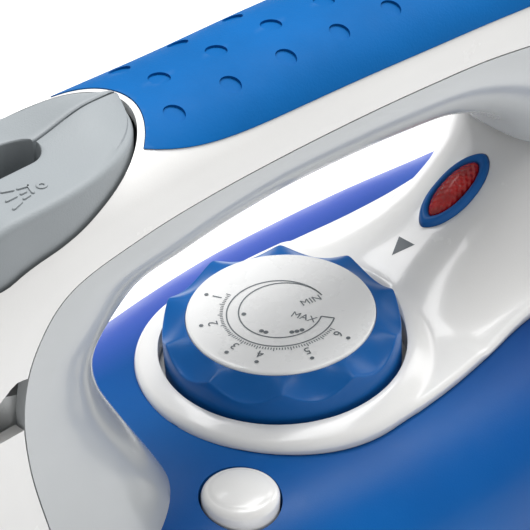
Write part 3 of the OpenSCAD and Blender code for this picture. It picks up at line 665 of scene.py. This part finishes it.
# ---- pilot light ---------------------------------------------------------------------
def build_pilot():
    # ring: a rounded bead between the outer and the inner almond
    rings = []
    profile = [(0.0, -2.6), (0.0, 0.4), (0.12, 1.2), (0.35, 1.75), (0.62, 1.8),
               (0.88, 1.4), (1.0, 0.8), (1.0, -1.4)]
    for share, z in profile:
        length = BEZEL_L + (LENS_L + 0.6 - BEZEL_L) * share
        width = BEZEL_W + (LENS_W + 0.5 - BEZEL_W) * share
        rings.append([lens_point((x, y, z)) for x, y in almond(length, width)])
    n = len(rings[0])
    faces = grid_faces(len(rings), n, True)
    last = (len(rings) - 1) * n
    faces += [(last + j, last + (j + 1) % n, (j + 1) % n, j) for j in range(n)]
    bezel = make("pilot_bezel_ring", [p for r in rings for p in r], faces, BLUE, 50)
    place_piece(bezel, "body", ["pilot_bezel"])
    # lens: a dome over the almond
    rings = []
    for k in range(15):
        t = k / 14 * math.pi / 2
        scale = math.cos(t) if k < 14 else 0.02
        rings.append([lens_point((x * scale, y * scale, 0.9 + 1.9 * math.sin(t)))
                      for x, y in almond(LENS_L + 0.4, LENS_W + 0.3)])
    rings.insert(0, [lens_point((x, y, -2.2)) for x, y in almond(LENS_L + 0.4, LENS_W + 0.3)])
    lens = loft("pilot_lens_dome", rings, LENS, 50)
    place_piece(lens, "body", ["pilot_lens"])


build_pilot()

# ---- dial ----------------------------------------------------------------------------
LOBES = 10
KNOB_TOP = 14.6
LOBE_TURN = math.radians(9)
# the knob's skirt is round; ten scoops run from the plate down to its upper rim
RIM_HIGH, RIM_LOW, RIM_ROUND = 13.8, 11.0, 0.4
RING_R = 19.95


def knob_rim(a):
    """Height of the skirt's upper edge: cusps between the scoops."""
    wave = math.sin(LOBES / 2 * (a - LOBE_TURN))
    return RIM_HIGH - (RIM_HIGH - RIM_LOW) * (math.sqrt(wave * wave + 0.012) - 0.11) / 0.9


def knob_column(a):
    """Radius and height pairs up the knob's side and over its top at the angle a."""
    z = knob_rim(a)
    depth = (RIM_HIGH - z) / (RIM_HIGH - RIM_LOW)
    column = [(KNOB_R - 0.7, 1.4), (KNOB_R - 0.2, 1.7), (KNOB_R - 0.02, 2.4), (KNOB_R, 4.0)]
    column += [(KNOB_R, 4.0 + (z - RIM_ROUND - 4.0) * k / 4) for k in range(1, 5)]
    column += [(KNOB_R - RIM_ROUND * (1 - cos_d(t)), z - RIM_ROUND * (1 - sin_d(t)))
               for t in (22, 45, 68)]
    for k in range(13):
        s = k / 12
        hollow = (1 - depth) * (1 - (1 - s) ** 1.5) + depth * s ** 1.25
        column.append((KNOB_R - RIM_ROUND + (RING_R - KNOB_R + RIM_ROUND) * s,
                       z + (KNOB_TOP - z) * hollow))
    return column + [(RING_R - 0.1, KNOB_TOP - 0.4), (RING_R - 0.1, KNOB_TOP - 1.4)]


def build_knob():
    segments = 400
    columns = [knob_column(2 * math.pi * k / segments) for k in range(segments)]
    points = []
    for i in range(len(columns[0])):
        for k, column in enumerate(columns):
            a = 2 * math.pi * k / segments
            r, z = column[i]
            points.append(dial_point((r * math.cos(a), r * math.sin(a), z)))
    faces = grid_faces(len(columns[0]), segments, True)
    faces += [tuple(range(segments)), tuple(range(len(points) - segments, len(points)))]
    knob = make("dial_knob_fluted", points, faces, BLUE, 60)
    place_piece(knob, "dial", ["dial_knob"])


def build_plate():
    z = KNOB_TOP
    profile = [(0, z - 1.2), (PLATE_R, z - 1.2), (PLATE_R, z + 0.2), (PLATE_R - 0.12, z + 0.42),
               (PLATE_R - 0.4, z + 0.56), (PLATE_R - 1.0, z + 0.62)]
    profile += [(PLATE_R * (1 - k / 8), z + 0.62 + 0.08 * (k / 8)) for k in range(1, 8)]
    profile.append((0, z + 0.7))
    plate = dial_turned("dial_plate_top", profile, PLATE)
    shade(plate, 60)
    place_piece(plate, "dial", ["dial_plate"])


PRINT_Z = KNOB_TOP + 0.735


def arc_band(radius, a0, a1, width, steps=120):
    """A thin printed line from angle a0 to a1, in degrees; its radius is a function."""
    left, right = [], []
    for k in range(steps + 1):
        t = k / steps
        a = a0 + (a1 - a0) * t
        r = radius(t)
        left.append(((r - width / 2) * cos_d(a), (r - width / 2) * sin_d(a), PRINT_Z))
        right.append(((r + width / 2) * cos_d(a), (r + width / 2) * sin_d(a), PRINT_Z))
    n = steps + 1
    return left + right, [(k, k + 1, n + k + 1, n + k) for k in range(steps)]


def join_lists(parts):
    points, faces = [], []
    for p, f in parts:
        base = len(points)
        points += p
        faces += [tuple(i + base for i in face) for face in f]
    return points, faces


def spot(r, a, radius, n=28):
    cx, cy = r * cos_d(a), r * sin_d(a)
    turns = [2 * math.pi * k / n for k in range(n)]
    ring = [(cx + radius * math.cos(t), cy + radius * math.sin(t), PRINT_Z) for t in turns]
    return ring, [tuple(range(n))]


def bar(a, r0, r1, width):
    u, v = (cos_d(a), sin_d(a)), (-sin_d(a), cos_d(a))
    ring = [(r * u[0] + s * width / 2 * v[0], r * u[1] + s * width / 2 * v[1], PRINT_Z)
            for r, s in ((r0, -1), (r1, -1), (r1, 1), (r0, 1))]
    return ring, [(0, 1, 2, 3)]


def letters(text, size, r, a, turn):
    """Flat letters centred at radius r and angle a, turned by turn degrees."""
    curve = bpy.data.curves.new("letters", "FONT")
    curve.body = text
    curve.size = size
    curve.align_x = "CENTER"
    curve.align_y = "CENTER"
    curve.resolution_u = 4
    obj = bpy.data.objects.new("letters", curve)
    bpy.context.scene.collection.objects.link(obj)
    depsgraph = bpy.context.evaluated_depsgraph_get()
    mesh = bpy.data.meshes.new_from_object(obj.evaluated_get(depsgraph))
    c, s = cos_d(turn), sin_d(turn)
    points = [(r * cos_d(a) + c * v.co.x - s * v.co.y, r * sin_d(a) + s * v.co.x + c * v.co.y,
               PRINT_Z) for v in mesh.vertices]
    faces = [tuple(p.vertices) for p in mesh.polygons]
    bpy.data.objects.remove(obj)
    return points, faces


# In the dial's plane: angle 0 to the iron's tip, counted to port
VIEW_TURN = 135.0
PRINT_LINE = 0.30
TICKS = 67


def dial_angle(picture_angle):
    """The dial's angle for a direction seen from the port rear side, 0 to the right."""
    return picture_angle + VIEW_TURN


def build_print():
    start, end = 29.0, 345.0
    parts = [
        arc_band(lambda t: PLATE_R * (0.50 - 0.06 * smooth(t * 2.2)),
                 dial_angle(start), dial_angle(end), PRINT_LINE),
        arc_band(lambda t: PLATE_R * (0.50 + 0.005 * smooth(t * 4) + 0.075 * smooth(t * 1.5)),
                 dial_angle(start), dial_angle(end), PRINT_LINE),
        bar(dial_angle(end), 0.44 * PLATE_R, 0.58 * PLATE_R, PRINT_LINE),
    ]
    inner_dots = ((184, 0.385), (238, 0.375), (246, 0.375), (288, 0.375), (296, 0.385),
                  (304, 0.395))
    for a, r in inner_dots:
        parts.append(spot(r * PLATE_R, dial_angle(a), 0.52))
    outer_dots = (157, 193, 229, 253, 292, 325)
    for number, a in enumerate(outer_dots, 1):
        parts.append(spot(0.85 * PLATE_R, dial_angle(a), 0.46))
        turn = dial_angle(a) - 90
        parts.append(letters(str(number), 3.0, 0.72 * PLATE_R, dial_angle(a), turn))
    for k in range(TICKS):
        a = 150 + 2.7 * k
        tick_end = 0.66 if k % 6 == 0 else 0.64
        parts.append(bar(dial_angle(a), 0.605 * PLATE_R, tick_end * PLATE_R, 0.20))
    parts.append(letters("MIN", 2.6, 0.36 * PLATE_R, dial_angle(26), dial_angle(26)))
    parts.append(letters("MAX", 2.6, 0.27 * PLATE_R, dial_angle(-26), dial_angle(-26)))
    points, faces = join_lists(parts)
    marks = make("dial_print", points, faces, INK)
    turn_into_dial(marks)
    place_piece(marks, "dial", ())


build_knob()
build_plate()
build_print()

# ---- handle --------------------------------------------------------------------------
# Inner x and z, outer x and z, half the width, roundness of the section, from the front
# foot over the grip to the rear pillar
HANDLE_ROWS = [
    (38, 55, 117, 46, 27, 2.4), (42, 64, 113, 58, 21.5, 2.5),
    (50, 78, 109, 74, 17.5, 2.8), (57.5, 92, 107, 90, 17, 3),
    (60.5, 103, 106, 108, 18, 3.4), (57, 110, 104, 125, 19.4, 3.4),
    (48, 113, 97, 139, 20, 2.6), (37, 113.8, 74, 143.6, 19.4, 2.6),
    (26, 113.8, 50, 143.8, 18.2, 2.5), (12, 113.4, 26, 143.8, 17.8, 2.3),
    (-4, 112.6, 2, 143.6, 17.8, 2.3), (-20, 111, -22, 143, 17.8, 2.3),
    (-36, 108.5, -48, 142.4, 18.2, 2.3), (-50, 103.5, -76, 141.5, 19.6, 2.4),
    (-60, 97.5, -102, 136, 21, 2.5), (-65, 91.6, -118, 122, 21.5, 2.5),
    (-66.2, 90.4, -122.5, 106, 21.8, 2.5), (-66.4, 90.2, -123, 90.2, 22, 2.5),
]
GRIP_U0, GRIP_U1 = 7.2 / 17, 13.6 / 17


def handle_row(u):
    return along(HANDLE_ROWS, u)


def section_point(row, a, d, gap=0.0):
    """Point of a section at angle a, 0 to port and 90 outward, moved in by d and kept
    at least gap away from the parting plane."""
    half = Vector(((row[2] - row[0]) / 2, (row[3] - row[1]) / 2))
    h = half.length
    direction = half / h
    p = 2 / row[5]
    q = (h - d) * spow(sin_d(a), p)
    q = max(q, gap) if a <= 180 else min(q, -gap)
    y = (row[4] - d) * spow(cos_d(a), p)
    return ((row[0] + row[2]) / 2 + direction.x * q, y, (row[1] + row[3]) / 2 + direction.y * q)


def spaced(a0, a1, n):
    """Evenly spread angles."""
    return [a0 + (a1 - a0) * i / n for i in range(n + 1)]


def shell_ring(u, a0, a1, d0, d1, n):
    row = handle_row(u)
    angles = spaced(a0, a1, n)
    return ([section_point(row, a, d0, SEAM / 2) for a in angles]
            + [section_point(row, a, d1, SEAM / 2) for a in reversed(angles)])


def handle_shell(name, a0, a1, d0, d1, material, m=150, n=56):
    return loft(name, [shell_ring(i / m, a0, a1, d0, d1, n) for i in range(m + 1)], material, 40)


def grip_edge(u):
    return min(70, 23 + 4 * (1 - smooth((u - 0.5) / 0.2)) + 27 * math.exp((0.4665 - u) / 0.02))


def grip_form(name, d0, d1, widen, grow, material, m=90, n=48):
    rings = []
    for i in range(m + 1):
        u = GRIP_U0 - grow + (GRIP_U1 - GRIP_U0 + 2 * grow) * i / m
        a = grip_edge(u) - widen
        row = handle_row(u)
        angles = spaced(a, 180 - a, n)
        rings.append([section_point(row, b, d0) for b in angles]
                     + [section_point(row, b, d1) for b in reversed(angles)])
    return loft(name, rings, material, 40)


BLOCK_BACK, BLOCK_FRONT, BLOCK_HW = 43.5, 92.0, 18.0


def block_w(x):
    t = clamp01((x - BLOCK_BACK) / 34)
    return BLOCK_HW * (1 - (1 - t) ** 2.4) ** (1 / 1.9) * (1 - 0.04 * smooth((x - 84) / 8))


def block_outline(gap, n=90):
    """The block's outline, moved out by gap along its normals."""
    edge = []
    for i in range(n + 1):
        t = (i / n) ** 3
        x = BLOCK_BACK + (BLOCK_FRONT + gap - BLOCK_BACK) * t
        step = 0.01
        slope = Vector((step, block_w(x + step) - block_w(x))).normalized() if i else Vector((0, 1))
        edge.append((x - slope.y * gap, max(0.02, block_w(x) + slope.x * gap)))
    return edge + [(x, -y) for x, y in reversed(edge)]


def grip_front(gap):
    return [prism("block_tool", block_outline(2 + gap), 100, 160),
            block("front_tool", (50 - gap, -40, 100), (110, 40, 160))]


def dimples():
    """Small blind round tools over the grip, three staggered rows."""
    tools = []
    pitch, radius, depth = 14.5, 2.15, 0.32
    rows = ((90, 33.0), (63, 38.0), (117, 34.5))
    for a, first in rows:
        for k in range(7):
            x = first - pitch * k
            low, high = GRIP_U0 - 0.03, GRIP_U1
            for _ in range(40):
                u = (low + high) / 2
                if section_point(handle_row(u), a, 0)[0] > x:
                    low = u
                else:
                    high = u
            row = handle_row(u)
            at = Vector(section_point(row, a, 0))
            side = Vector(section_point(row, a + 1, 0)) - Vector(section_point(row, a - 1, 0))
            fore = (Vector(section_point(handle_row(u + 0.004), a, 0))
                    - Vector(section_point(handle_row(u - 0.004), a, 0)))
            normal = side.cross(fore).normalized()
            if normal.z < 0:
                normal = -normal
            tools.append(rod("dimple", at - normal * depth, at + normal * 3, radius, None, 40))
    return tools


INLET = next(m for m in frame["record"]["mounts"] if m["name"] == "cord_inlet")


def on_inlet(z):
    """Point on the cord inlet's axis, z out from its middle."""
    return tuple(Vector(INLET["pos_m"]) / MM + Vector(INLET["axis"]) * (z - 4))


def build_handle():
    upper = handle_shell("handle_upper", 0, 180, 0, SHELL_WALL, WHITE)
    recess = cut(grip_form("recess", -4, GRIP_T, 0, 0, None), *grip_front(0))
    axle_x, _, axle_z = (c / MM for c in JOINTS["fill_door_swing"]["pos_m"])
    cut(upper, recess,
        prism("block_hole", block_outline(0.7), 100, 160),
        block("door_hole", (98, -9.35, 69.65), (128, 9.35, 90.35)),
        rod("axle_hole", (axle_x, -13, axle_z), (axle_x, 13, axle_z), 1.25),
        rod("nozzle_hole", (93, 0, 114.7), (123, 0, 112.1), 4.8),
        rod("inlet_hole", on_inlet(-9), on_inlet(5), 6.4))
    soften(upper, 0.35, 55, 2, 40)
    place_piece(upper, "body", ["upper_shell"])

    lower = handle_shell("handle_lower", 180.01, 359.99, 0, SHELL_WALL, SILVER)
    cut(lower,
        rod("rim_tool", (0, 0, 40), (0, 0, 68), SADDLE_R + 0.3, None, 128),
        rod("clean_tool", (*CLEAN_AT, 50), (*CLEAN_AT, 90), CLEAN_R + 6))
    shade(lower, 40)
    place_piece(lower, "body", ["lower_shell"])

    grip = grip_form("grip_soft", -0.25, GRIP_T - 0.05, -0.4, -0.001, GRIP)
    cut(grip, *grip_front(0.15))
    soften(grip, 0.5, 50, 3, 40)
    cut(grip, *dimples())
    shade(grip, 40)
    place_piece(grip, "body", ["grip"])


build_handle()


# ---- buttons -------------------------------------------------------------------------
SLOT_BACK, SLOT_W = 63.0, 10.0


def block_ridge(x):
    return 146.4 - 2.9 * smooth((x - 50) / 16) - 2 * smooth((x - 82) / 10)


def block_rim(x, side):
    return 143.5 - (3.6 * smooth((x - 44) / 16) if side < 0 else 0) - 2.4 * smooth((x - 82) / 10)


def block_low(x):
    return 142.2 - 11.4 * clamp01((x - 46) / 40) ** 0.9


def slot_edge(x):
    r = SLOT_W / 2
    c = SLOT_BACK + r
    if x < SLOT_BACK:
        return 0.3
    return max(0.3, math.sqrt(max(0.0, r * r - (c - x) ** 2))) if x < c else r


def block_top(x, y, side):
    return block_ridge(x) - (block_ridge(x) - block_rim(x, side)) * y / max(1, block_w(x))


def block_ring(x, side):
    w = block_w(x)
    y0 = min(slot_edge(x), w - 0.4)
    r = min(1.6, (w - y0) * 0.45)
    zl = block_low(x) - 3
    ring = [(x, y0, zl), (x, y0, block_top(x, y0, side) - 0.5)]
    ring += [(x, y0 + 0.5 - 0.5 * cos_d(a), block_top(x, y0 + 0.5, side) - 0.5 + 0.5 * sin_d(a))
             for a in (30, 60, 90)]
    for k in range(1, 9):
        y = y0 + 0.5 + (w - r - y0 - 0.5) * k / 8
        ring.append((x, y, block_top(x, y, side)))
    ring += [(x, w - r + r * cos_d(a), block_top(x, w, side) - r + r * sin_d(a))
             for a in range(81, -1, -9)]
    ring.append((x, w, zl))
    return [(px, side * py, pz) for px, py, pz in ring]


def build_button(name, side, body, node):
    xs = [BLOCK_BACK + 0.15 + 19.0 * (i / 40) ** 1.6 for i in range(41)]
    xs += [SLOT_BACK + 0.02 + SLOT_W / 2 * (1 - cos_d(90 * i / 24)) for i in range(25)]
    xs += [SLOT_BACK + SLOT_W / 2 + 1.2 * k for k in range(1, 19)]
    xs = [x for x in xs if x < BLOCK_FRONT - 1.2]
    xs += [BLOCK_FRONT - 1.2, BLOCK_FRONT - 0.6, BLOCK_FRONT - 0.2, BLOCK_FRONT]
    button = loft(name, [block_ring(x, side) for x in xs], GREY, 42)
    place_piece(button, body, [node])


def icon_bar(a, b, side, width=0.62, height=0.3):
    """A raised dash on a button's top."""
    start, end = Vector(a), Vector(b)
    along_bar = (end - start).normalized()
    across = Vector((-along_bar.y, along_bar.x)) * width / 2
    outline = []
    for centre, sign in ((end, 1), (start, -1)):
        for k in range(9):
            t = math.radians(-90 + 180 * k / 8)
            outline.append(centre + (along_bar * math.cos(t) * sign * width / 2
                                     + across * math.sin(t) * sign))
    n = len(outline)
    points = []
    for grow, lift in ((1, -0.2), (1, height - 0.1), (0.7, height)):
        middle = (start + end) / 2
        for p in outline:
            q = p if grow == 1 else p - (p - middle).normalized() * 0.12
            points.append((q.x, side * q.y, block_top(q.x, q.y, side) + lift))
    faces = grid_faces(3, n, True) + [tuple(range(2 * n, 3 * n)), tuple(range(n))]
    return points, faces


def icon_ring(at, r, side, width=0.55, height=0.3, n=48):
    points = []
    for dr, lift in ((width / 2, -0.2), (width / 2, height - 0.1), (width / 4, height),
                     (-width / 4, height), (-width / 2, height - 0.1), (-width / 2, -0.2)):
        for k in range(n):
            x = at[0] + (r + dr) * math.cos(2 * math.pi * k / n)
            y = at[1] + (r + dr) * math.sin(2 * math.pi * k / n)
            points.append((x, side * y, block_top(x, y, side) + lift))
    return points, grid_faces(6, n, True)


def build_icons():
    """A plain spray mark on one button and a plain cloud of bars on the other."""
    spray = [icon_ring((71.5, 12.0), 0.75, 1)]
    dashes = (((73.3, 10.5), (75.1, 10.0)), ((73.2, 10.5), (74.0, 12.7)),
              ((74.8, 11.6), (75.7, 11.6)), ((75.0, 12.9), (76.3, 13.1)),
              ((76.0, 9.7), (77.7, 8.9)), ((76.9, 11.6), (78.9, 11.6)),
              ((77.4, 13.6), (79.6, 14.3)))
    for a, b in dashes:
        spray.append(icon_bar(a, b, 1))
    steam = [icon_bar((73.0, 9.0 + 2.2 * k), (78.5, 9.0 + 2.2 * k), -1) for k in range(3)]
    for name, parts, body in (("spray_button_mark", spray, "spray_button"),
                              ("steam_button_mark", steam, "steam_button")):
        points, faces = join_lists(parts)
        place_piece(make(name, points, faces, GREY, 40), body, ())


build_button("spray_button_cap", 1, "spray_button", "spray_button")
build_button("steam_button_cap", -1, "steam_button", "steam_button")
build_icons()


# ---- self-clean button ----------------------------------------------------------------
def build_clean_button():
    r = CLEAN_R
    top = CLEAN_HIGH[2]
    profile = [(0, 48), (2.4, 48), (2.4, 55), (r, 55), (r, top - 3)]
    profile += [(r - 1.8 + 1.8 * cos_d(a), top - 3 + 1.8 * sin_d(a)) for a in range(9, 90, 9)]
    shares = [1 - k / 10 for k in range(1, 10)]
    profile += [(6.6 * share, top - 1.2 + 1.2 * (1 - share ** 2)) for share in shares]
    profile.append((0, top))
    button = revolve("self_clean_cap", profile, (*CLEAN_AT, 0), WHITE, 128, 50)
    place_piece(button, "self_clean_button", ["self_clean_button"])


build_clean_button()

# ---- rear cover ----------------------------------------------------------------------
REAR_ROWS = [(12, -104.4, -136, 43), (36, -104.4, -137, 41), (59, -104.4, -137, 37.5),
             (60.5, -116.6, -137, 37), (88, -116.6, -137, 31.5), (90, -123.6, -137, 31),
             (112, -123.6, -136, 24), (120, -123.6, -133.5, 19), (124, -124.5, -130, 14)]


def rear_ring(z, front, back, hw, n=64):
    ring = [(front, -hw, z)]
    for i in range(n + 1):
        a = -90 + 180 * i / n
        ring.append((front - 3 - (front - 3 - back) * max(0.0, cos_d(a)) ** 0.42,
                     hw * spow(sin_d(a), 0.7), z))
    return ring + [(front, hw, z)]


def build_rear():
    rows = []
    for lower, upper in zip(REAR_ROWS, REAR_ROWS[1:]):
        for k in range(6):
            rows.append([p + (q - p) * k / 6 for p, q in zip(lower, upper)])
    rows.append(list(REAR_ROWS[-1]))
    cover = loft("rear_cover_shell", [rear_ring(*row) for row in rows], WHITE, 40)
    cut(cover,
        rod("inlet_hole", on_inlet(-6), on_inlet(24), 7.7),
        *[rod("screw_hole", (-141, s * 26, 30), (-129, s * 26, 30), 2) for s in (-1, 1)])
    soften(cover, 1.2, 50, 4, 40)
    place_piece(cover, "body", ["rear_cover"])


build_rear()


# ---- stage ---------------------------------------------------------------------------
def build_stage():
    side = 3000
    pale = plastic("floor_pale", (0.93, 0.93, 0.93), 0.6, 0.01, worn=0.0)
    glow = pale.node_tree.nodes["Principled BSDF"]
    glow.inputs["Emission Color"].default_value = (1.0, 1.0, 1.0, 1)
    glow.inputs["Emission Strength"].default_value = 0.24
    floor = make("floor", [(-side, -side, -0.5), (side, -side, -0.5), (side, side, -0.5),
                           (-side, side, -0.5)], [(0, 1, 2, 3)], pale)


def area_light(name, at, target, size, power):
    data = bpy.data.lights.new(name, "AREA")
    data.shape = "RECTANGLE"
    data.size, data.size_y = size
    data.energy = power
    obj = bpy.data.objects.new(name, data)
    obj.location = at
    obj.rotation_euler = (Vector(target) - Vector(at)).to_track_quat("-Z", "Y").to_euler()
    bpy.context.scene.collection.objects.link(obj)


def build_light():
    world = bpy.data.worlds.new("studio")
    world.use_nodes = True
    world.node_tree.nodes["Background"].inputs["Color"].default_value = (1.0, 1.0, 1.0, 1)
    world.node_tree.nodes["Background"].inputs["Strength"].default_value = 0.36
    bpy.context.scene.world = world
    middle = (0, 0, 0.08)
    area_light("overhead_soft", (-0.25, -0.2, 1.2), middle, (1.1, 0.8), 21)
    area_light("port_fill", (0.5, 1.1, 0.5), middle, (0.9, 0.6), 0.8)
    area_light("rear_edge", (-1.1, 0.1, 0.6), middle, (0.5, 0.7), 4)


def build_camera():
    azimuth, elevation, distance = math.radians(135), math.radians(34.6), 0.5
    target = Vector((-5.909, -11.509, 77.854)) * MM
    back = Vector((math.sin(azimuth) * math.cos(elevation),
                   -math.cos(azimuth) * math.cos(elevation), math.sin(elevation)))
    data = bpy.data.cameras.new("camera")
    data.sensor_width = 36.0
    data.lens = 160.74
    data.clip_start = 0.01
    camera = bpy.data.objects.new("camera", data)
    camera.location = target + back * distance
    camera.rotation_euler = (-back).to_track_quat("-Z", "Y").to_euler()
    bpy.context.scene.collection.objects.link(camera)
    bpy.context.scene.camera = camera


bpy.context.scene.view_settings.view_transform = "Standard"
build_stage()
build_light()
build_camera()
